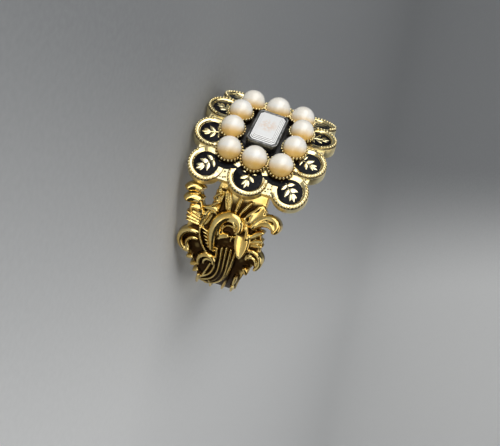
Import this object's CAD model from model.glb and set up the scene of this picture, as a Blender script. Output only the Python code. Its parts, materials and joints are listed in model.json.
import json
import math

import bpy
import numpy as np
from mathutils import Matrix, Vector

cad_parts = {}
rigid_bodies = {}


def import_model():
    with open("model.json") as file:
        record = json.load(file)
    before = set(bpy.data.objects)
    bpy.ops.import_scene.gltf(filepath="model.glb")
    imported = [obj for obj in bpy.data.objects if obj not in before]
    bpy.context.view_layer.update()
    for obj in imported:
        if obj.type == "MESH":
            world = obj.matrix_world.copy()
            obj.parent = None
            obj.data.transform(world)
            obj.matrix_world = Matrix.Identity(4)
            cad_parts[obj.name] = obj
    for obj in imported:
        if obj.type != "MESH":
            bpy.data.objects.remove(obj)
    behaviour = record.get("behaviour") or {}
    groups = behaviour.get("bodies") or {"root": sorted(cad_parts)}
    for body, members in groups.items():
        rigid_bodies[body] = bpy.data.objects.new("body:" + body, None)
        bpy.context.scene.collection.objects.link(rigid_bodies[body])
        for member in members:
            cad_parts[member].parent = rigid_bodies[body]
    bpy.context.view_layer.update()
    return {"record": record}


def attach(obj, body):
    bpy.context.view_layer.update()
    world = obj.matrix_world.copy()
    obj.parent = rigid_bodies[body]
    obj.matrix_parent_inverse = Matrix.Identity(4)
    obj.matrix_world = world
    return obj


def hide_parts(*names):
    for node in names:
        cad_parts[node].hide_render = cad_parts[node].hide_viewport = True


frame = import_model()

mm = 0.001
tiny = 0.0001 * mm           # points nearer than this are one


# Helpers

def deselect():
    if bpy.context.mode != "OBJECT":
        bpy.ops.object.mode_set(mode="OBJECT")
    bpy.ops.object.select_all(action="DESELECT")


def useOnly(obj):
    deselect()
    obj.select_set(True)
    bpy.context.view_layer.objects.active = obj


def named(name):
    obj = bpy.context.active_object
    obj.name = name
    obj.data.name = name
    return obj


def editMode(obj, select="DESELECT"):
    useOnly(obj)
    bpy.ops.object.mode_set(mode="EDIT")
    bpy.ops.mesh.select_all(action=select)


def objectMode():
    bpy.ops.object.mode_set(mode="OBJECT")


def pickFlat(obj, up=1):
    # selects the faces that look straight up, or down where up is -1
    editMode(obj)
    objectMode()
    for face in obj.data.polygons:
        face.select = face.normal.z * up > 0.99
    bpy.ops.object.mode_set(mode="EDIT")
    bpy.ops.mesh.select_mode(type="FACE")


def applyModifier(obj, kind, **settings):
    useOnly(obj)
    modifier = obj.modifiers.new(kind.title(), kind)
    for key, value in settings.items():
        setattr(modifier, key, value)
    bpy.ops.object.modifier_apply(modifier=modifier.name)


def bevel(obj, width, segments=2, angle=30):
    applyModifier(obj, "BEVEL", width=width, segments=segments, limit_method="ANGLE",
                  angle_limit=math.radians(angle))


def smooth(obj, angle=40):
    useOnly(obj)
    bpy.ops.object.shade_smooth_by_angle(angle=math.radians(angle))


def joined(name, parts):
    deselect()
    for part in parts:
        part.select_set(True)
    bpy.context.view_layer.objects.active = parts[0]
    if len(parts) > 1:
        bpy.ops.object.join()
    return named(name)


def points(obj):
    co = np.empty(len(obj.data.vertices) * 3)
    obj.data.vertices.foreach_get("co", co)
    return co.reshape(-1, 3)


def setPoints(obj, co):
    obj.data.vertices.foreach_set("co", np.asarray(co, float).ravel())
    obj.data.update()


def mark(obj, name, values, domain="POINT"):
    # stores a value at each point or face, which a finish reads
    obj.data.attributes.new(name, "FLOAT", domain).data.foreach_set("value", values)


def copyTo(obj, matrix, name="copy"):
    made = obj.copy()
    made.data = obj.data.copy()
    made.name = name
    bpy.context.collection.objects.link(made)
    made.data.transform(matrix)
    if matrix.determinant() < 0:
        made.data.flip_normals()
    return made


def discard(obj):
    bpy.data.objects.remove(obj)


def addGrid(name, columns, rows, size=1):
    deselect()
    bpy.ops.mesh.primitive_grid_add(x_subdivisions=columns, y_subdivisions=rows, size=size)
    return named(name)


def addCylinder(name, vertices, radius, low, high):
    deselect()
    bpy.ops.mesh.primitive_cylinder_add(vertices=vertices, radius=radius, depth=high - low,
                                        location=(0, 0, (low + high) / 2))
    obj = named(name)
    bpy.ops.object.transform_apply(location=True)
    return obj


def addOval(name, a, b, low, high):
    obj = addCylinder(name, 72, 1, low, high)
    setPoints(obj, points(obj) * (a, b, 1))
    return obj


def sweep(name, rings, ends=True):
    # a skin through equal rings of points, from a grid whose rows are laid on the rings; without ends
    # its last ring lies on its first
    rings = np.asarray(rings, float)
    rows, across = rings.shape[:2]
    obj = addGrid(name, across, rows - 1)
    setPoints(obj, np.concatenate([rings, rings[:, :1]], axis=1))
    editMode(obj, "SELECT")
    bpy.ops.mesh.remove_doubles(threshold=tiny)
    if ends:
        bpy.ops.mesh.fill_holes(sides=across)
    bpy.ops.mesh.normals_make_consistent(inside=False)
    objectMode()
    return obj


# The ring is modelled upright, as the photo shows it: x along the finger, y away, z up to the head.
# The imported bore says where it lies.

ring = {
    "boreR": 8.4 * mm,
    "hoopW": 3 * mm,
    "hoopT": 0.8 * mm,
    "shankShift": 0.4 * mm,
    "headRise": 2.6 * mm,
    "bendR": 13 * mm,        # radius of the head's bent face
    "headW": 14.4 * mm,
    "headL": 15.8 * mm,
    "plateT": 1.1 * mm,
}
faceZ = ring["boreR"] + ring["headRise"]

bore = frame["record"]["mounts"][0]
lean = math.atan2(bore["axis"][1], bore["axis"][2])
layDown = Matrix.Translation(bore["pos_m"]) @ Matrix((
    (0, -1, 0, 0),
    (math.sin(lean), 0, -math.cos(lean), 0),
    (math.cos(lean), 0, math.sin(lean), 0),
    (0, 0, 0, 1),
)) @ Matrix.Translation((ring["shankShift"], 0, 0))


def finish(obj, slot, look, *nodes):
    # lays a finished piece down, gives it its look and says what it stands for
    obj.data.transform(layDown)
    obj.data.materials.clear()
    obj.data.materials.append(finishes[look])
    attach(obj, "root")
    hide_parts(*nodes)


def onFace(x, y):
    # a place on the bent face, with its z along the normal
    return (Matrix.Translation((0, 0, faceZ - ring["bendR"]))
            @ Matrix.Rotation(-y / ring["bendR"], 4, "X")
            @ Matrix.Translation((x, 0, ring["bendR"])))


def bendOnFace(co):
    x, y, h = co[:, 0], co[:, 1], co[:, 2]
    turn = y / ring["bendR"]
    r = ring["bendR"] + h
    return np.stack([x, r * np.sin(turn), faceZ - ring["bendR"] + r * np.cos(turn)], axis=1)


# Lobes and pearls, clockwise from the far left corner

lobe = {
    "size": 4.3 * mm,
    "rimW": 0.6 * mm,
    "rimH": 0.22 * mm,
    # reach to the right and away as shares of half the head, half sizes as shares of the lobe's size
    "places": [(-0.9, 0.99, 0.45, 0.45), (0, 1, 0.5, 0.46), (0.9, 0.99, 0.45, 0.45),
               (1, 0.51, 0.46, 0.45), (1, -0.51, 0.46, 0.45),
               (0.9, -0.99, 0.45, 0.45), (0, -1, 0.5, 0.46), (-0.9, -0.99, 0.45, 0.45),
               (-1, -0.51, 0.46, 0.45), (-1, 0.51, 0.46, 0.45)],
}


def sign(value):
    return (value > 0) - (value < 0)


lobes = []
for reachX, reachY, halfX, halfY in lobe["places"]:
    a, b = halfX * lobe["size"], halfY * lobe["size"]
    lobes.append({
        "a": a, "b": b,
        "x": reachX * ring["headW"] / 2 - sign(reachX) * a,
        "y": reachY * ring["headL"] / 2 - sign(reachY) * b,
    })

pearl = {
    "endR": 1.3 * mm,
    "cornerR": 1.2545 * mm,
    "sideR": 1.222 * mm,
    "rise": 0.85 * mm,
    "flat": 0.26 * mm,        # its cut underside, just above the floor of its collet
    "endY": 4.01 * mm,
    "side": (3.402 * mm, 1.302 * mm),
    "corner": (2.805 * mm, 3.849 * mm),
    "colletT": 0.12 * mm,
    "gap": 0.03 * mm,
    "shade": (0.15, -0.7, -0.7),      # towards the golden side of each pearl
    "shadeFrom": -0.15,               # where along that way it starts, and over how much, in radii
    "shadeOver": 0.6,
}
cornerX, cornerY = pearl["corner"]
sideX, sideY = pearl["side"]
pearls = [
    (-cornerX, cornerY, pearl["cornerR"]), (0, pearl["endY"], pearl["endR"]),
    (cornerX, cornerY, pearl["cornerR"]), (sideX, sideY, pearl["sideR"]),
    (sideX, -sideY, pearl["sideR"]), (cornerX, -cornerY, pearl["cornerR"]),
    (0, -pearl["endY"], pearl["endR"]), (-cornerX, -cornerY, pearl["cornerR"]),
    (-sideX, -sideY, pearl["sideR"]), (-sideX, sideY, pearl["sideR"]),
]

stone = {
    "w": 2.84 * mm,
    "l": 4.6 * mm,
    "clip": 0.35 * mm,
    "table": 1.2 * mm,
    "gap": 0.01 * mm,         # under it, above the floor of its collet
    "girdle": (0.3, 0.5),     # its straight sides, as shares of its height
    # how far in, in mm, and how far up or down, as a share of its height, each cut goes
    "steps": [(0.04, 0.14), (0.12, 0.03), (0.025, 0.1), (0.12, 0.02), (0.025, 0.09), (0.11, 0.02),
              (0.025, 0.08), (0.08, 0.02)],
    "base": [(0.2, 0.15), (0.2, 0.15)],
    "wall": 0.24 * mm,        # of its silver collet
    "wallFoot": 0.07 * mm,
    "wallTop": 0.95 * mm,
    "wallEdge": 0.05 * mm,
    "floor": 0.33 * mm,       # of the collet's cup
}


# Finishes

class Wire:
    # one output of a shader node, used in sums
    def __init__(self, tree, socket):
        self.tree = tree
        self.socket = socket

    def sum(self, operation, *others, swap=False):
        node = self.tree.nodes.new("ShaderNodeMath")
        node.operation = operation
        values = (*others, self) if swap else (self, *others)
        for socket, value in zip(node.inputs, values):
            if isinstance(value, Wire):
                self.tree.links.new(value.socket, socket)
            else:
                socket.default_value = value
        return Wire(self.tree, node.outputs[0])

    def __add__(self, other):
        return self.sum("ADD", other)

    def __radd__(self, other):
        return self.sum("ADD", other)

    def __sub__(self, other):
        return self.sum("SUBTRACT", other)

    def __rsub__(self, other):
        return self.sum("SUBTRACT", other, swap=True)

    def __mul__(self, other):
        return self.sum("MULTIPLY", other)

    def __rmul__(self, other):
        return self.sum("MULTIPLY", other)


class Finish:
    def __init__(self, name, **sockets):
        self.material = bpy.data.materials.new(name)
        self.material.use_nodes = True
        self.tree = self.material.node_tree
        self.shader = self.tree.nodes["Principled BSDF"]
        self.put(self.shader, sockets)

    def put(self, node, sockets):
        for key, value in sockets.items():
            if isinstance(value, Wire):
                self.tree.links.new(value.socket, node.inputs[key])
            else:
                node.inputs[key].default_value = value

    def node(self, kind, settings=None, sockets=None, out=0):
        made = self.tree.nodes.new("ShaderNode" + kind)
        for key, value in (settings or {}).items():
            setattr(made, key, value)
        self.put(made, sockets or {})
        return Wire(self.tree, made.outputs[out])

    def where(self):
        return self.node("TexCoord", out=3)

    def value(self, name):
        return self.node("Attribute", {"attribute_name": name}, out=2)

    def noise(self, size, detail):
        return self.node("TexNoise", {}, {"Vector": self.where(), "Scale": 1 / size, "Detail": detail})

    def step(self, value, low, high):
        return self.node("MapRange", {"interpolation_type": "SMOOTHSTEP"},
                         {"Value": value, "From Min": low, "From Max": high})

    def blend(self, factor, first, second):
        return self.node("Mix", {"data_type": "RGBA"}, {0: factor, 6: first, 7: second}, out=2)

    def bump(self, height, depth, strength):
        return self.node("Bump", {}, {"Height": height, "Distance": depth, "Strength": strength})


def color(r, g, b):
    return (r, g, b, 1)


tones = {
    # golds, and the brown of their hollows
    "pale": color(0.98, 0.78, 0.32),
    "warm": color(0.78, 0.52, 0.15),
    "deep": color(0.9, 0.66, 0.24),
    "light": color(0.99, 0.89, 0.55),
    "mid": color(0.94, 0.75, 0.35),
    "recess": color(0.05, 0.025, 0.008),
    # what the head carries
    "blackGround": color(0.012, 0.011, 0.010),
    "silver": color(0.36, 0.36, 0.35),
    "tarnish": color(0.10, 0.10, 0.10),
    "stone": color(0.97, 0.97, 0.96),
    "blush": color(0.90, 0.72, 0.58),
    "stoneStep": color(0.42, 0.41, 0.40),
    "cream": color(0.98, 0.96, 0.91),
    "deepCream": color(0.97, 0.91, 0.79),
    "goldenPearl": color(0.97, 0.62, 0.18),
    "enamel": color(0.006, 0.006, 0.008),
    "wornEnamel": color(0.02, 0.02, 0.022),
}


def castGold(name, pale, warm):
    # cast work: bright on the ridges, dark brown in the hollows
    look = Finish(name, Metallic=1.0)
    patches = look.noise(1.2 * mm, 4)
    dirt = look.step(look.value("relief") + (patches - 0.5) * 0.2, 0.44, 0.14)
    tone = look.blend(look.step(patches, 0.3, 0.7), pale, warm)
    scratches = look.noise(0.12 * mm, 2)
    look.put(look.shader, {
        "Base Color": look.blend(dirt, tone, tones["recess"]),
        "Roughness": 0.1 + patches * 0.1 + dirt * 0.3,
        "Normal": look.bump(scratches, 0.01 * mm, 0.35),
    })
    return look.material


def brightGold(name, pale, warm):
    # polished work, lightly worn
    look = Finish(name, Metallic=1.0)
    patches = look.noise(1.6 * mm, 4)
    scratches = look.noise(0.1 * mm, 2)
    look.put(look.shader, {
        "Base Color": look.blend(look.step(patches, 0.35, 0.75), pale, warm),
        "Roughness": 0.14 + patches * 0.14,
        "Normal": look.bump(scratches, 0.006 * mm, 0.3),
    })
    return look.material


def punchedGold():
    # the plate between the lobes: matte with small punched dots, black round the collets
    look = Finish("punchedGold", Metallic=1.0)
    upper = look.value("upper")
    black = look.value("ground") * upper
    dots = look.node("TexVoronoi", {}, {"Vector": look.where(), "Scale": 1 / (0.3 * mm), "Randomness": 0.6})
    pit = look.step(dots, 0.4, 0.26) * upper
    patches = look.noise(0.9 * mm, 3)
    tone = look.blend(look.step(patches, 0.35, 0.75), tones["light"], tones["mid"])
    tone = look.blend(pit * 0.9, tone, tones["recess"])
    look.put(look.shader, {
        "Base Color": look.blend(black, tone, tones["blackGround"]),
        "Roughness": 0.3 + patches * 0.12,
        "Metallic": 1 - black,
        "Normal": look.bump(1 - pit, 0.03 * mm, 0.8),
    })
    return look.material


def darkSilver():
    look = Finish("darkSilver", Metallic=1.0)
    tarnish = look.noise(0.6 * mm, 4)
    look.put(look.shader, {
        "Base Color": look.blend(look.step(tarnish, 0.35, 0.7), tones["silver"], tones["tarnish"]),
        "Roughness": 0.28 + tarnish * 0.2,
    })
    return look.material


def cutStone():
    look = Finish("cutStone", **{"IOR": 1.6, "Coat Weight": 1.0, "Coat Roughness": 0.03})
    cloud = look.noise(0.3 * mm, 3)
    middle = tuple(layDown @ Vector((0, 0, faceZ + stone["table"])))
    away = look.node("VectorMath", {"operation": "DISTANCE"}, {0: look.where(), 1: middle}, out=1)
    blush = look.step(away, 1.3 * mm, 0.3 * mm) * look.step(cloud, 0.35, 0.6)
    white = look.blend(blush * 0.7, tones["stone"], tones["blush"])
    look.put(look.shader, {
        "Base Color": look.blend(look.value("slope"), white, tones["stoneStep"]),
        "Roughness": 0.08 + cloud * 0.1,
    })
    return look.material


def lustre():
    look = Finish("lustre", **{"Coat Weight": 0.8, "Coat Roughness": 0.1, "IOR": 1.6})
    body = look.noise(1.5 * mm, 3)
    skin = look.noise(0.25 * mm, 3)
    cream = look.blend(look.step(body, 0.3, 0.7), tones["cream"], tones["deepCream"])
    look.put(look.shader, {
        "Base Color": look.blend(look.value("lowSide"), cream, tones["goldenPearl"]),
        "Roughness": 0.2 + skin * 0.12,
        "Normal": look.bump(skin, 0.008 * mm, 0.25),
    })
    return look.material


def blackEnamel():
    look = Finish("blackEnamel", **{"IOR": 1.38, "Specular IOR Level": 0.12})
    wear = look.noise(0.5 * mm, 3)
    look.put(look.shader, {
        "Base Color": look.blend(look.step(wear, 0.5, 0.8), tones["enamel"], tones["wornEnamel"]),
        "Roughness": 0.12 + wear * 0.15,
        "Normal": look.bump(wear, 0.01 * mm, 0.3),
    })
    return look.material


finishes = {
    "cast": castGold("castGold", tones["pale"], tones["warm"]),
    "rim": castGold("rimGold", tones["light"], tones["mid"]),
    "bright": brightGold("brightGold", tones["light"], tones["mid"]),
    "plain": brightGold("plainGold", tones["pale"], tones["deep"]),
    "punched": punchedGold(),
    "silver": darkSilver(),
    "stone": cutStone(),
    "pearl": lustre(),
    "enamel": blackEnamel(),
}
print("finishes made")


# Hoop

hoop = {
    "edge": 0.5,              # its thickness at the edges, as a share
    "fullness": 0.7,          # lower is flatter across the middle
    "bevel": 0.06 * mm,
    "across": 6,
    "steps": 160,
}


def makeHoop():
    inner, outer = ring["boreR"], ring["boreR"] + ring["hoopT"]
    edge, half = inner + ring["hoopT"] * hoop["edge"], ring["hoopW"] / 2
    section = [(inner, -half)]
    for i in range(hoop["across"] + 1):
        turn = math.pi * (i / hoop["across"] - 0.5)
        rise = (outer - edge) * max(0, math.cos(turn)) ** hoop["fullness"]
        section.append((edge + rise, half * math.sin(turn)))
    section.append((inner, half))
    rings = []
    for i in range(hoop["steps"] + 1):
        turn = 2 * math.pi * i / hoop["steps"]
        rings.append([(z - ring["shankShift"], r * math.sin(turn), r * math.cos(turn)) for r, z in section])
    obj = sweep("goldHoop", rings, ends=False)
    bevel(obj, hoop["bevel"], 2, 50)
    smooth(obj, 50)
    finish(obj, "gold", "plain", "gold_ring")


makeHoop()
print("hoop made")


# Shoulders: scrolls drawn on a sheet that is laid round the hoop, x from the middle of the shank and y down
# from the middle of the head

sheet = {
    "width": 11.3 * mm,       # across 113 columns
    "reach": 19.4 * mm,       # from the middle of the head to row 194
    "columns": 113,
    "edgeRow": 69,            # the head's edge
    "rows": 194,
    "relief": 1.75 * mm,
    "webT": 0.85 * mm,
    "webFoot": 0.1,           # shares of the web's thickness
    "scrollFoot": 0.35,
    "voxel": 0.075 * mm,
    "rounds": 70,             # of smoothing, for the level that each point is set against
    "reliefSpan": 0.3 * mm,   # from the darkest hollow to the brightest ridge
    # darker and darker between these turns away from the head, up to so much, and more in the middle
    "darkTurns": (math.radians(66), math.radians(96)),
    "dark": 0.3,
    "darkMiddle": 0.17,
    "middle": -0.3 * mm,
    "middleFade": (0.96 * mm, 1.76 * mm),     # how far from the middle that fades out
}
sheetR = ring["boreR"] + 0.8 * sheet["relief"]       # where the sheet's lengths are true
edgeTurn = ring["headL"] / 2 / ring["bendR"]
edgeReach = sheetR * math.atan2(ring["bendR"] * math.sin(edgeTurn),
                                faceZ - ring["bendR"] + ring["bendR"] * math.cos(edgeTurn))

# Start, heading in degrees (0 right, 90 down), length, turn, how late it tightens, widths at root, middle and
# tip, crests at root and tip as percents of the relief, and flutes across or one of crossShapes.
scrolls = [
    # left strut with its rounded turns, and the chased stem beside the open gap
    (-33, 103, 247, 38, 0, 1, 13, 13, 12, 66, 108, 0),
    (-38, 76, 215, 18, -110, 1, 12, 15, 11, 112, 124, -3),
    (-36, 87, 215, 18, -110, 1, 12, 15, 11, 102, 114, -3),
    (-34, 96, 210, 12, -80, 1, 8, 10, 7, 86, 94, -3),
    (-18, 95, 266, 28, 4, 1, 8, 10, 11, 74, 110, 3),
    (-24, 89, 305, 12, 30, 1, 3, 5, 4, 86, 102, 0),
    (-24, 80, 300, 12, 30, 1, 3, 5, 4, 94, 112, 0),
    (-30, 92, 340, 16, 40, 1, 4, 7, 3, 76, 88, 0),
    # leaves and rays on the bridge under the head
    (-6, 88, 258, 24, -10, 1, 6, 9, 4, 74, 96, 2),
    (2, 86, 276, 18, 6, 1, 4, 6, 3, 72, 92, 0),
    (8, 86, 292, 18, 14, 1, 4, 6, 3, 72, 92, 0),
    (14, 88, 304, 18, 10, 1, 4, 6, 3, 72, 92, 0),
    (20, 95, 296, 26, -16, 1, 8, 15, 10, 74, 98, -2),
    # fluted fronds on the left and the leaf in the hollow behind them
    (-31, 100, 202, 16, 30, 1.2, 3, 5, 3, 72, 84, -3),
    (-31, 104, 196, 17, 24, 1.4, 3, 4, 2, 70, 78, -3),
    (-31, 107, 192, 18, 20, 1.5, 3, 4, 2, 68, 80, -3),
    (-31, 110, 187, 17, 16, 1.5, 2, 4, 2, 66, 76, -3),
    (-31, 113, 183, 16, 14, 1.5, 2, 3, 2, 64, 74, -3),
    (-22, 92, 104, 24, 10, 1, 6, 11, 5, 62, 62, 2),
    # large curl on the left with its broad hollow leaf, and the ridge beside the ribbed stem
    (-30, 122, 195, 40, -175, 1, 5, 8, 6, 76, 92, 0),
    (-28, 131, 205, 24, -185, 1, 4, 6, 4, 70, 84, 0),
    (-33, 131, 75, 26, -14, 1, 5, 11, 5, 64, 64, -1),
    (-29, 114, 82, 34, -42, 1, 3, 3, 3, 78, 82, 0),
    # big scroll in the middle: three ridges, one inside the other, and the leaf in its hollow
    (-11, 134, 257, 76, 264, 2.3, 7, 13, 8, 98, 112, 0),
    (-8, 116, 262, 36, 225, 2, 3, 4, 4, 84, 102, 0),
    (-6, 112, 270, 23, 180, 1.4, 2, 3, 3, 70, 96, 0),
    (-8, 122, 288, 16, 80, 1, 5, 9, 5, 66, 96, 0),
    (6, 120, 262, 9, 40, 1, 3, 4, 3, 68, 80, 0),
    (12, 89, 50, 25, 45, 1, 4, 6, 4, 72, 96, 0),
    # smooth pointed leaf
    (16, 103, 80, 30, 5, 1, 13, 19, 2, 76, 124, -2),
    # long ridges that sweep down to the left
    (14, 127, 92, 76, 74, 2.4, 4, 5, 4, 80, 104, -3),
    (9, 127, 88, 78, 90, 2.6, 4, 6, 4, 84, 106, -3),
    (4, 127, 86, 76, 90, 2.5, 4, 6, 4, 80, 104, -3),
    (-1, 129, 84, 70, 88, 2.3, 4, 6, 4, 78, 102, -3),
    (-6, 132, 82, 60, 84, 2, 4, 5, 4, 76, 100, -3),
    (-9, 155, 104, 40, 4, 1, 4, 5, 4, 84, 100, -3),
    # lower curl
    (-22, 164, 258, 40, 235, 1.7, 4, 7, 5, 84, 98, 0),
    (-17, 161, 262, 23, 200, 1.5, 3, 5, 4, 76, 88, 0),
    # leaf tips down the left edge
    (-34, 146, 170, 8, 20, 1, 7, 8, 5, 92, 90, 0),
    (-29, 155, 160, 8, 20, 1, 5, 6, 3, 86, 86, 0),
    (-24, 164, 150, 8, 20, 1, 5, 6, 3, 88, 88, 0),
    (-21, 172, 135, 8, 20, 1, 5, 6, 4, 94, 94, 0),
    (-20, 179, 95, 24, 0, 1, 4, 6, 4, 104, 106, 0),
    # volute on the right with its knob
    (22, 97, 299, 47, 245, 2.2, 6, 9, 8, 80, 106, 0),
    (24, 98, 306, 28, 125, 1.8, 4, 8, 8, 76, 104, 0),
    (45, 82, 60, 5, 0, 1, 9, 10, 8, 94, 92, 0),
    # fluted fronds on the right
    (24, 109, 305, 19, 40, 1.4, 4, 8, 3, 72, 96, 0),
    (25, 114, 325, 16, 20, 1.5, 3, 6, 2, 70, 82, 0),
    (26, 117, 340, 15, 10, 1.5, 3, 5, 2, 66, 76, 0),
    # oval scroll and knob on the right
    (24, 125, 316, 37, 195, 0.9, 4, 6, 6, 74, 94, 0),
    (27, 133, 300, 17, 170, 0.9, 3, 5, 4, 66, 78, 0),
    (29, 124, 95, 14, 20, 1, 4, 8, 3, 66, 66, 2),
    (27, 144, 60, 10, 10, 1, 5, 8, 3, 96, 94, 0),
    # long beads down the right edge
    (21, 161, 94, 16, 5, 1, 4, 6, 3, 96, 102, 0),
    (19, 180, 94, 14, 5, 1, 4, 6, 3, 102, 104, 0),
    (12, 154, 92, 46, 10, 1, 4, 6, 4, 76, 102, 0),
    (-8, 184, 70, 20, 40, 1, 4, 6, 4, 100, 104, 0),
]
# bars across the ribbed stem
for rib in range(6):
    scrolls.append((-27 + 2 * rib, 114 + 4 * rib, 12, 10, 10, 1, 2, 2, 2, 78, 86, 0))

# the web behind the scrolls: its left and right edges by row, and its thickness as a percent of webT
webLeft = [(34, -26), (56, -22), (82, -24), (95, -26), (100, -39), (110, -43), (130, -44), (143, -40),
           (155, -32), (170, -25), (194, -21), (212, -15)]
webRight = [(34, 30), (70, 31), (94, 31), (100, 33), (110, 38), (130, 39), (143, 35), (155, 29), (170, 25),
            (194, 22), (212, 15)]
webHeight = [(34, 210), (56, 190), (70, 150), (82, 118), (94, 104), (150, 104), (172, 150), (200, 150),
             (212, 100)]

# how square a scroll's dome is and how deep its middle dips: plain, hollow, flat and round
crossShapes = {0: (3, 0), -1: (6, 0.45), -2: (6, 0.12), -3: (2, 0)}
fluted = (3, 0.24)
scrollMesh = {
    "leastSteps": 8,
    "turnStep": 9,            # degrees
    "lengthStep": 3,
    "across": 13,
    "perFlute": 6,
    "capShare": 0.1,          # of the length, where the tip rounds off
    "tipWidth": 0.15,
    "tipSink": 0.1,
    "edgeHeight": 0.25,       # a share of the crest
}


def onHoop(x, y, h):
    # a place on the sheet, h above the finger; the rows stretch from the head's edge on
    edgeRow = sheet["edgeRow"]
    if y < edgeRow:
        arc = edgeReach * y / edgeRow
    else:
        arc = edgeReach + (sheet["reach"] - edgeReach) * (y - edgeRow) / (sheet["rows"] - edgeRow)
    turn, r = arc / sheetR, ring["boreR"] + h
    right = x * sheet["width"] / sheet["columns"] - ring["shankShift"]
    return (right, -r * math.sin(turn), r * math.cos(turn))


def along(root, mid, tip, u):
    # a smooth run through three values
    return root * (1 - u) * (1 - 2 * u) + 4 * mid * u * (1 - u) + tip * u * (2 * u - 1)


def crossShape(q, flutes):
    # height across a scroll as a share of its crest, from -1 to 1
    square, dip = crossShapes.get(flutes, fluted)
    dome = (1 - abs(q) ** square) ** 0.5
    wave = 0.5 + 0.5 * math.cos(math.pi * (q + 1) * (flutes + 1)) if flutes > 0 else 1 - q * q
    edge = scrollMesh["edgeHeight"]
    return (edge + (1 - edge) * dome) * (1 - dip * wave)


def makeScroll(row):
    x, y, heading, length, turn, late, root, mid, tip, crestRoot, crestTip, flutes = row
    foot = sheet["scrollFoot"] * sheet["webT"]
    steps = max(scrollMesh["leastSteps"], math.ceil(abs(turn) / scrollMesh["turnStep"]),
                math.ceil(length / scrollMesh["lengthStep"]))
    across = scrollMesh["across"] + scrollMesh["perFlute"] * max(0, flutes)
    capShare, tipWidth, tipSink = (scrollMesh[key] for key in ("capShare", "tipWidth", "tipSink"))
    rings = []
    for i in range(steps + 1):
        u = i / steps
        angle = math.radians(heading + turn * u ** late)
        past = max(0, u - (1 - capShare)) / capShare
        cap = math.sqrt(max(0, 1 - past ** 2)) * (1 - tipWidth) + tipWidth
        half = along(root, mid, tip, u) / 2 * cap
        crest = (crestRoot + (crestTip - crestRoot) * u) / 100 * sheet["relief"]
        crest *= 1 - tipSink + tipSink * cap
        sideX, sideY = math.sin(angle) * half, -math.cos(angle) * half
        loop = [onHoop(x - sideX, y - sideY, foot)]
        for j in range(across):
            q = -1 + 2 * j / (across - 1)
            loop.append(onHoop(x + sideX * q, y + sideY * q, foot + (crest - foot) * crossShape(q, flutes)))
        loop.append(onHoop(x + sideX, y + sideY, foot))
        rings.append(loop)
        step = length / steps
        x, y = x + math.cos(angle) * step, y + math.sin(angle) * step
    return sweep("scroll", rings)


def makeWeb():
    rows = np.arange(webLeft[0][0], webLeft[-1][0] + 1, 2)
    lefts = np.interp(rows, *zip(*webLeft))
    rights = np.interp(rows, *zip(*webRight))
    heights = np.interp(rows, *zip(*webHeight)) / 100 * sheet["webT"]
    foot = sheet["webFoot"] * sheet["webT"]
    rings = []
    for y, left, right, height in zip(rows, lefts, rights, heights):
        xs = np.linspace(left, right, 9)
        rings.append([onHoop(x, y, foot) for x in xs] + [onHoop(x, y, height) for x in xs[::-1]])
    return sweep("web", rings)


def standOut(obj):
    # how far each point stands above its surroundings, seen from the finger
    co = points(obj)
    height = np.hypot(co[:, 1], co[:, 2])
    ends = np.empty(len(obj.data.edges) * 2, np.int32)
    obj.data.edges.foreach_get("vertices", ends)
    first, second = ends.reshape(-1, 2).T
    near, far = np.concatenate([first, second]), np.concatenate([second, first])
    count = np.bincount(near, minlength=len(co))
    level = height
    for _ in range(sheet["rounds"]):
        level = np.bincount(near, weights=level[far], minlength=len(co)) / count
    return height - level


def keepOutside(obj):
    # drops the small closed pockets that the remesh leaves inside
    outer = int(np.argmax(np.hypot(*points(obj)[:, 1:].T)))
    editMode(obj)
    bpy.ops.mesh.select_mode(type="VERT")
    objectMode()
    obj.data.vertices[outer].select = True
    bpy.ops.object.mode_set(mode="EDIT")
    bpy.ops.mesh.select_linked()
    bpy.ops.mesh.select_all(action="INVERT")
    bpy.ops.mesh.delete(type="VERT")
    objectMode()


def makeShoulders():
    near = joined("nearShoulder", [makeWeb()] + [makeScroll(row) for row in scrolls])
    applyModifier(near, "REMESH", mode="VOXEL", voxel_size=sheet["voxel"], use_smooth_shade=True)
    keepOutside(near)
    applyModifier(near, "SMOOTH", factor=0.5, iterations=2)
    co = points(near)
    lower = np.interp(np.arctan2(-co[:, 1], co[:, 2]), sheet["darkTurns"], (0, 1))
    middle = np.interp(np.abs(co[:, 0] - sheet["middle"]), sheet["middleFade"], (1, 0))
    dark = (sheet["dark"] + sheet["darkMiddle"] * middle) * lower
    mark(near, "relief", np.clip(0.5 + standOut(near) / sheet["reliefSpan"] - dark, 0, 1))
    far = copyTo(near, Matrix.Scale(-1, 4, (0, 1, 0)), "farShoulder")
    finish(near, "gold", "cast", "gold_ring")
    finish(far, "gold", "cast", "gold_ring")


makeShoulders()
print("shoulders made")


# Head: plate, lobes with their rims, the black ground and the closed back

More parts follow.
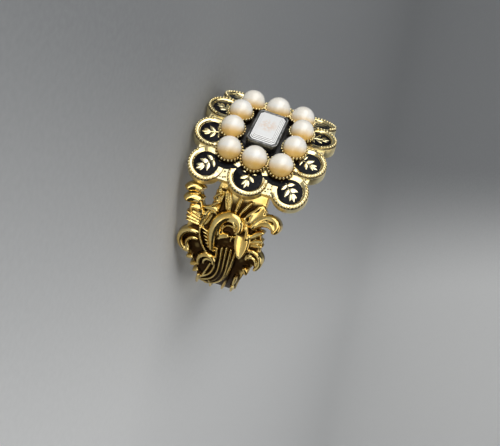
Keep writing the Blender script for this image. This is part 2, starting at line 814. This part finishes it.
head = {
    "margin": 1.1 * mm,       # plate outside the middles of the lobes
    "lobeEdge": 0.05 * mm,
    "faceDepth": 0.02 * mm,   # what lies less deep than this is the face
    "splay": 1.6,             # higher turns the lobes more to the sides
    "backW": 7 * mm,
    "backL": 8.4 * mm,
    "backEdge": 0.12 * mm,
    "backSteps": 24,
}
ground = {
    "wide": 0.72 * mm,        # round the collets
    "sideWide": 0.15 * mm,
    "under": 0.1 * mm,        # how far it reaches under the pearls
    "lift": 0.02 * mm,
    "liftStep": 0.003 * mm,   # keeps neighbours that overlap apart
    "thickness": 0.05 * mm,
    "fade": (0.06 * mm, 0.21 * mm),   # of the black on the plate, out from the collets
}
rim = {
    "steps": 64,
    "sunk": -0.06 * mm,
    "halfW": 0.46,            # a share of the rim's width
    # across from its inside to its outside, and up as a share of its top
    "section": [(-1, -0.5), (-1, 0.5), (-0.6, 0.9), (0, 1), (0.6, 0.9), (1, 0.5), (1, -0.5)],
    # shares of its height: at a lobe's sides, what is added outside and taken off inside, and the least
    "lift": 0.65,
    "swing": 1.2,
    "least": 0.5,
    "openLobes": (1, 5, 6, 7),
    "darkAcross": (1, 1.08),  # darkens from its middle line out to this share of the way
    "darkRelief": 0.2,
}
rimGrain = {
    "r": 0.15 * mm,
    "tall": 1.15,
    "pitch": 0.37 * mm,
    "reach": math.radians(88),
    "inset": 0.17 * mm,
    "level": 0.8,             # a share of the rim's height
}


def markUpper(obj):
    # marks the face, so that only it is punched
    mark(obj, "upper", (points(obj)[:, 2] > -head["faceDepth"]).astype(float))


def makePlate():
    # a flat sheet cut to the line through the lobes, then bent
    obj = addGrid("headPlate", 110, 120, size=2)
    co = points(obj)
    side, corner = lobes[3], lobes[2]
    co[:, 1] *= corner["y"] + head["margin"]
    share = np.clip((np.abs(co[:, 1]) - side["y"]) / (corner["y"] - side["y"]), 0, 1)
    co[:, 0] *= side["x"] + (corner["x"] - side["x"]) * share + head["margin"]
    setPoints(obj, co)
    black = np.zeros(len(co))
    for px, py, r in pearls:
        away = np.hypot(co[:, 0] - px, co[:, 1] - py) - r - pearl["colletT"]
        black = np.maximum(black, np.interp(away, ground["fade"], (1, 0)))
    black[(np.abs(co[:, 0]) < sideX) & (np.abs(co[:, 1]) < cornerY)] = 1
    mark(obj, "ground", black)
    applyModifier(obj, "SOLIDIFY", thickness=ring["plateT"], offset=-1)
    markUpper(obj)
    setPoints(obj, bendOnFace(points(obj)))
    smooth(obj, 50)
    finish(obj, "gold", "punched", "gold_ring")


def makeLobes():
    made = []
    for place in lobes:
        obj = addOval("lobe", place["a"], place["b"], -ring["plateT"], 0)
        bevel(obj, head["lobeEdge"], 3)
        smooth(obj)
        markUpper(obj)
        obj.data.transform(onFace(place["x"], place["y"]))
        made.append(obj)
    finish(joined("lobeBodies", made), "gold", "punched", "gold_ring")


def outward(place):
    # which way a lobe points, away from the middle of the head
    splay = head["splay"]
    return math.atan2(place["y"] / ring["headL"] ** splay, place["x"] / ring["headW"] ** splay)


def makeGround():
    # black ground round each collet, laid on the plate and the inner sides of the lobes
    made = []
    for i, (px, py, r) in enumerate(pearls):
        obj = addGrid("ground", 64, 5)
        co = points(obj) + 0.5
        wide = ground["sideWide"] if abs(py) == sideY else ground["wide"]
        turn = co[:, 0] * 2 * math.pi
        reach = r - ground["under"] + co[:, 1] * (wide + ground["under"])
        level = np.full(len(co), ground["lift"] + ground["liftStep"] * (i % 3))
        flat = np.stack([px + reach * np.cos(turn), py + reach * np.sin(turn), level], axis=1)
        setPoints(obj, bendOnFace(flat))
        editMode(obj, "SELECT")
        bpy.ops.mesh.remove_doubles(threshold=tiny)
        objectMode()
        applyModifier(obj, "SOLIDIFY", thickness=ground["thickness"], offset=0)
        made.append(obj)
    obj = joined("blackGround", made)
    smooth(obj)
    finish(obj, "enamel", "enamel", "gold_ring")


def makeRims():
    # a rounded rim round each disc, lower towards the middle of the head, where open lobes' rims sink in
    made = []
    for i, place in enumerate(lobes):
        least = 0 if i in rim["openLobes"] else rim["least"]
        rings = []
        for step in range(rim["steps"] + 1):
            turn = 2 * math.pi * step / rim["steps"]
            lift = min(1, max(least, rim["lift"] + rim["swing"] * math.cos(turn - outward(place))))
            top = rim["sunk"] + (lobe["rimH"] - rim["sunk"]) * lift
            loop = []
            for across, up in rim["section"]:
                inset = lobe["rimW"] * (0.5 - rim["halfW"] * across)
                a, b = place["a"] - inset, place["b"] - inset
                loop.append((a * math.cos(turn), b * math.sin(turn), top * up))
            rings.append(loop)
        obj = sweep("rim", rings, ends=False)
        x, y = points(obj)[:, :2].T
        out = np.hypot(x / (place["a"] - lobe["rimW"] / 2), y / (place["b"] - lobe["rimW"] / 2))
        mark(obj, "relief", np.interp(out, rim["darkAcross"], (1, rim["darkRelief"])))
        smooth(obj, 60)
        obj.data.transform(onFace(place["x"], place["y"]))
        made.append(obj)
    finish(joined("lobeRims", made), "gold", "rim", "gold_ring")


def makeGrain(r, tall):
    deselect()
    bpy.ops.mesh.primitive_uv_sphere_add(segments=10, ring_count=7, radius=r)
    obj = named("grain")
    obj.data.transform(Matrix.Scale(tall, 4, (0, 0, 1)))
    bpy.ops.object.shade_smooth()
    return obj


def grainsRound(grain, x, y, a, b, level, turns):
    # copies of a grain at these turns of an oval on the bent face
    made = []
    for turn in turns:
        spot = Matrix.Translation((a * math.cos(turn), b * math.sin(turn), level))
        made.append(copyTo(grain, onFace(x, y) @ spot))
    return made


def makeLobeGrains():
    grain = makeGrain(rimGrain["r"], rimGrain["tall"])
    reach, level = rimGrain["reach"], lobe["rimH"] * rimGrain["level"]
    made = []
    for place in lobes:
        count = round(2 * reach * (place["a"] + place["b"]) / 2 / rimGrain["pitch"])
        turns = [outward(place) + reach * (2 * i / count - 1) for i in range(count + 1)]
        a, b = place["a"] - rimGrain["inset"], place["b"] - rimGrain["inset"]
        made += grainsRound(grain, place["x"], place["y"], a, b, level, turns)
    discard(grain)
    finish(joined("lobeGrains", made), "gold", "bright", "gold_ring")


def makeBack():
    # closed back between the finger and the plate
    half, low = head["backL"] / 2, ring["boreR"] + sheet["webFoot"] * sheet["webT"]
    high = ring["bendR"] - ring["plateT"] / 2
    ys = [half * (2 * i / head["backSteps"] - 1) for i in range(head["backSteps"] + 1)]
    section = [(y, faceZ - ring["bendR"] + math.sqrt(high ** 2 - y ** 2)) for y in ys]
    section += [(y, math.sqrt(low ** 2 - y ** 2)) for y in ys[::-1]]
    sides = (-head["backW"] / 2, head["backW"] / 2)
    obj = sweep("headBack", [[(x, y, z) for y, z in section] for x in sides])
    bevel(obj, head["backEdge"], 3, 50)
    smooth(obj)
    finish(obj, "gold", "plain", "gold_ring")


makePlate()
makeLobes()
makeGround()
makeRims()
makeLobeGrains()
makeBack()
print("head made")


# Stone and its collet

def clippedBlock(name, w, l, low, high):
    # a block with clipped corners, from a cylinder with eight sides
    obj = addCylinder(name, 8, 1, low, high)
    x, y, clip = w / 2, l / 2, stone["clip"]
    outline = [(clip - x, y), (-x, y - clip), (-x, clip - y), (clip - x, -y),
               (x - clip, -y), (x, clip - y), (x, y - clip), (x - clip, y)]
    # the cylinder's corners come in pairs, lower then upper
    setPoints(obj, [(*corner, z) for corner in outline for z in (low, high)])
    editMode(obj, "SELECT")
    bpy.ops.mesh.normals_make_consistent(inside=False)
    objectMode()
    return obj


def sinkTop(obj, wall, depth):
    # hollows a collet from above
    pickFlat(obj)
    bpy.ops.mesh.inset(thickness=wall)
    bpy.ops.mesh.extrude_region_move(TRANSFORM_OT_translate={"value": (0, 0, -depth)})
    objectMode()


def makeStone():
    # the base spreads to the girdle, and steps rise from there to the table
    low = stone["floor"] + stone["gap"]
    tall = stone["table"] - low
    foot, top = (low + share * tall for share in stone["girdle"])
    obj = clippedBlock("stepCutStone", stone["w"], stone["l"], foot, top)
    for up, cuts in ((1, stone["steps"]), (-1, stone["base"])):
        pickFlat(obj, up)
        for inward, rise in cuts:
            bpy.ops.mesh.inset(thickness=inward * mm, depth=rise * tall)
    objectMode()
    mark(obj, "slope", [float(face.normal.z < 0.9) for face in obj.data.polygons], "FACE")
    obj.data.transform(Matrix.Translation((0, 0, faceZ)))
    finish(obj, "stone", "stone", "centre_stone")


def makeCollet():
    wall, top = stone["wall"], stone["wallTop"]
    obj = clippedBlock("silverCollet", stone["w"] + 2 * wall, stone["l"] + 2 * wall, stone["wallFoot"], top)
    sinkTop(obj, wall - pearl["gap"], top - stone["floor"])
    bevel(obj, stone["wallEdge"], 2, 40)
    smooth(obj)
    obj.data.transform(Matrix.Translation((0, 0, faceZ)))
    finish(obj, "silver", "silver", "centre_collet")


makeStone()
makeCollet()
print("stone made")


# Pearls and enamel

collet = {
    "drop": 0.22 * mm,        # its top, below the middle of the pearl
    "depth": 0.4 * mm,
    "edge": 0.03 * mm,
    "grainR": 0.13 * mm,
    "grainTall": 1.5,
    "pitch": 0.37 * mm,
    "inset": 0.03 * mm,       # of the grains, and how far they sink in
    "sunk": 0.02 * mm,
}
enamel = {
    "top": 0.03 * mm,         # above the bent face, and its foot below
    "foot": -0.27 * mm,
    "edge": 0.05 * mm,
}
spray = {
    "leaf": (0.95 * mm, 0.42 * mm),
    "ridge": 0.05 * mm,
    "thickness": 0.04 * mm,
    # where each leaf starts along the stem, in mm, its turn in degrees and its size
    "leaves": [(-0.95, 68, 0.85), (-0.95, -68, 0.85), (-0.4, 52, 1), (-0.4, -52, 1),
               (0.12, 30, 0.8), (0.12, -30, 0.8), (0.2, 0, 0.9)],
    "stem": 0.06 * mm,
    "stemFlat": 0.6,          # its height as a share of its width
    "stemEnds": (-1.15 * mm, 0.3 * mm),
    "outward": 0.12 * mm,
    "lift": 0.035 * mm,
}


def makePearlCollets():
    # a plain wall and a ring of grains that grips each pearl
    top = pearl["rise"] - collet["drop"]
    grain = makeGrain(collet["grainR"], collet["grainTall"])
    walls, grains = [], []
    for x, y, r in pearls:
        outer = r + pearl["gap"] + pearl["colletT"]
        wall = addCylinder("wall", 56, outer, -ring["plateT"] / 2, top)
        sinkTop(wall, pearl["colletT"], collet["depth"])
        bevel(wall, collet["edge"], 2, 50)
        smooth(wall)
        wall.data.transform(onFace(x, y))
        walls.append(wall)
        count = round(2 * math.pi * outer / collet["pitch"])
        turns = [2 * math.pi * i / count for i in range(count)]
        reach = outer - collet["inset"]
        grains += grainsRound(grain, x, y, reach, reach, top - collet["sunk"], turns)
    discard(grain)
    finish(joined("pearlCollets", walls), "gold", "cast", "gold_ring")
    finish(joined("colletGrains", grains), "gold", "bright", "gold_ring")


def makePearls():
    middle = (0, 0, pearl["rise"])
    for i, (x, y, r) in enumerate(pearls):
        deselect()
        bpy.ops.mesh.primitive_uv_sphere_add(segments=64, ring_count=40, radius=r, location=middle)
        obj = named(f"halfPearl{i + 1:02d}")
        bpy.ops.object.transform_apply(location=True)
        editMode(obj, "SELECT")
        bpy.ops.mesh.bisect(plane_co=(0, 0, pearl["flat"]), plane_no=(0, 0, 1), use_fill=True,
                            clear_inner=True, threshold=tiny)
        bpy.ops.mesh.select_all(action="SELECT")
        bpy.ops.mesh.normals_make_consistent(inside=False)
        objectMode()
        shade = onFace(x, y).to_3x3().transposed() @ Vector(pearl["shade"])
        below = (points(obj) - middle) @ shade / r
        mark(obj, "lowSide", np.clip((below - pearl["shadeFrom"]) / pearl["shadeOver"], 0, 1))
        smooth(obj, 60)
        obj.data.transform(onFace(x, y))
        finish(obj, "pearl", "pearl", f"pearl_{i + 1:02d}")


def makeEnamel():
    for i, place in enumerate(lobes):
        a, b = place["a"] - lobe["rimW"], place["b"] - lobe["rimW"]
        obj = addOval(f"enamelDisc{i + 1:02d}", a, b, enamel["foot"], enamel["top"])
        bevel(obj, enamel["edge"], 3, 50)
        smooth(obj)
        obj.data.transform(onFace(place["x"], place["y"]))
        finish(obj, "enamel", "enamel", f"enamel_{i + 1:02d}")


def makeLeaf(length, width):
    # a pointed leaf with a ridge along its middle, lying flat
    obj = addGrid("leaf", 10, 4)
    co = points(obj)
    u, v = co[:, 0] + 0.5, co[:, 1] * 2
    half = width / 2 * np.sin(math.pi * u ** 0.8) ** 0.8
    ridge = spray["ridge"] * (1 - v ** 2) * np.sin(math.pi * u) ** 0.5
    setPoints(obj, np.stack([u * length, v * half, ridge], axis=1))
    editMode(obj, "SELECT")
    bpy.ops.mesh.remove_doubles(threshold=tiny)
    objectMode()
    applyModifier(obj, "SOLIDIFY", thickness=spray["thickness"], offset=-1)
    bpy.ops.object.shade_smooth()
    return obj


def makeSprays():
    # a small gold spray of leaves let into each disc
    leaf = makeLeaf(*spray["leaf"])
    wide, high = spray["stem"], spray["stemFlat"] * spray["stem"]
    quarters = [math.pi / 2 * i for i in range(4)]
    rings = []
    for x in np.linspace(*spray["stemEnds"], 9):
        rings.append([(x, wide * math.cos(turn), high * math.sin(turn)) for turn in quarters])
    parts = [sweep("stem", rings)]
    for x, turn, size in spray["leaves"]:
        spot = Matrix.Translation((x * mm, 0, 0)) @ Matrix.Rotation(math.radians(turn), 4, "Z")
        parts.append(copyTo(leaf, spot @ Matrix.Scale(size, 4)))
    discard(leaf)
    first = joined("spray", parts)
    smooth(first, 60)
    made = []
    for place in lobes:
        turn, out = outward(place), spray["outward"]
        shift = Matrix.Translation((out * math.cos(turn), out * math.sin(turn), spray["lift"]))
        made.append(copyTo(first, onFace(place["x"], place["y"]) @ shift @ Matrix.Rotation(turn, 4, "Z")))
    discard(first)
    finish(joined("goldSprays", made), "gold", "bright", "gold_ring")


makePearlCollets()
makePearls()
makeEnamel()
makeSprays()
print("pearls and enamel made")


# Floor, lights and camera

studio = {
    "near": color(0.86, 0.87, 0.87),
    "far": color(0.30, 0.31, 0.32),
    "fade": (20 * mm, -24 * mm),      # from the far tone to the near one, up the picture
    "floorSize": 900 * mm,
    "wallAt": 160 * mm,
    "turnR": 120 * mm,                # where the floor turns up into the wall
    "lightAim": 5 * mm,               # how high on the ring the lights face
    "world": color(0.35, 0.36, 0.38),
    "worldStrength": 0.08,
}
photo = {
    "width": 500,
    "focal": 1029.8,          # in pixels of the photo
    "azimuth": 8.81,          # degrees, from the near end towards the right
    "elevation": 46.31,
    "roll": 12.82,
    "aim": (1.154 * mm, -5.026 * mm, 2.746 * mm),
    "distance": 110.1 * mm,
}


def makeCamera():
    azimuth, elevation = math.radians(photo["azimuth"]), math.radians(photo["elevation"])
    back = Vector((math.sin(azimuth) * math.cos(elevation), -math.cos(azimuth) * math.cos(elevation),
                   math.sin(elevation)))
    level = Vector((math.cos(azimuth), math.sin(azimuth), 0))
    right = Matrix.Rotation(math.radians(photo["roll"]), 3, back) @ level
    up = back.cross(right)
    stand = Matrix((right, up, back)).transposed().to_4x4()
    stand.translation = Vector(photo["aim"]) + back * photo["distance"]
    deselect()
    bpy.ops.object.camera_add()
    camera = bpy.context.active_object
    camera.name = "photoCamera"
    camera.matrix_world = layDown @ stand
    camera.data.sensor_width = 36
    camera.data.lens = photo["focal"] / photo["width"] * camera.data.sensor_width
    camera.data.clip_start = 5 * mm
    camera.data.clip_end = 5
    bpy.context.scene.camera = camera
    return camera


def makeFloor(camera):
    # pale floor that turns up into a wall behind the ring
    toward = -(camera.matrix_world.to_3x3() @ Vector((0, 0, 1)))
    toward.z = 0
    toward.normalize()
    side = Vector((-toward.y, toward.x, 0))
    size, wallAt, turnR = studio["floorSize"], studio["wallAt"], studio["turnR"]
    obj = addGrid("floor", 60, 2)
    places = []
    for x, y in points(obj)[:, :2]:
        run = (x + 0.5) * size - size / 3
        over = run - wallAt
        if over <= 0:
            out, rise = run, 0
        elif over < turnR * math.pi / 2:
            out, rise = wallAt + turnR * math.sin(over / turnR), turnR * (1 - math.cos(over / turnR))
        else:
            out, rise = wallAt + turnR, over - turnR * (math.pi / 2 - 1)
        places.append(tuple(toward * out + side * y * size * 1.5 + Vector((0, 0, rise))))
    setPoints(obj, places)
    smooth(obj, 60)
    look = Finish("paleFloor", Roughness=0.7)
    grain = look.noise(0.6 * mm, 3)
    up = camera.matrix_world.to_3x3() @ Vector((0, 1, 0))
    high = look.node("VectorMath", {"operation": "DOT_PRODUCT"}, {0: look.where(), 1: tuple(up)}, out=1)
    high = high - up.dot(layDown @ Vector(photo["aim"]))
    tone = look.step(high, *studio["fade"]) + (grain - 0.5) * 0.12
    look.put(look.shader, {
        "Base Color": look.blend(tone, studio["far"], studio["near"]),
        "Normal": look.bump(grain, 0.03 * mm, 0.3),
    })
    obj.data.materials.append(look.material)


def makeLight(name, fromRing, distance, size, energy, tint=(1, 1, 1)):
    # a soft panel that stands off in a direction given on the upright ring
    deselect()
    toward = (layDown.to_3x3() @ Vector(fromRing)).normalized()
    middle = layDown @ Vector((0, 0, studio["lightAim"]))
    bpy.ops.object.light_add(type="AREA")
    light = bpy.context.active_object
    light.name = name
    light.data.shape = "RECTANGLE"
    light.data.size, light.data.size_y = size
    light.data.energy = energy
    light.data.color = tint
    light.location = middle + toward * distance
    light.rotation_mode = "QUATERNION"
    light.rotation_quaternion = toward.to_track_quat("Z", "Y")


makeFloor(makeCamera())
makeLight("keyPanel", (-0.2, -0.05, 1), 260 * mm, (540 * mm, 540 * mm), 2.1)
makeLight("sparkPanel", (-0.75, -0.3, 0.65), 240 * mm, (80 * mm, 80 * mm), 0.12)
makeLight("frontPanel", (-0.2, -0.87, 0.45), 260 * mm, (260 * mm, 140 * mm), 0.25, (1, 0.95, 0.82))
makeLight("overPanel", (1, -0.1, 0.1), 260 * mm, (230 * mm, 230 * mm), 0.2)

world = bpy.context.scene.world or bpy.data.worlds.new("studio")
bpy.context.scene.world = world
world.use_nodes = True
world.node_tree.nodes["Background"].inputs["Color"].default_value = studio["world"]
world.node_tree.nodes["Background"].inputs["Strength"].default_value = studio["worldStrength"]
bpy.context.scene.view_settings.view_transform = "Standard"
print("studio made")
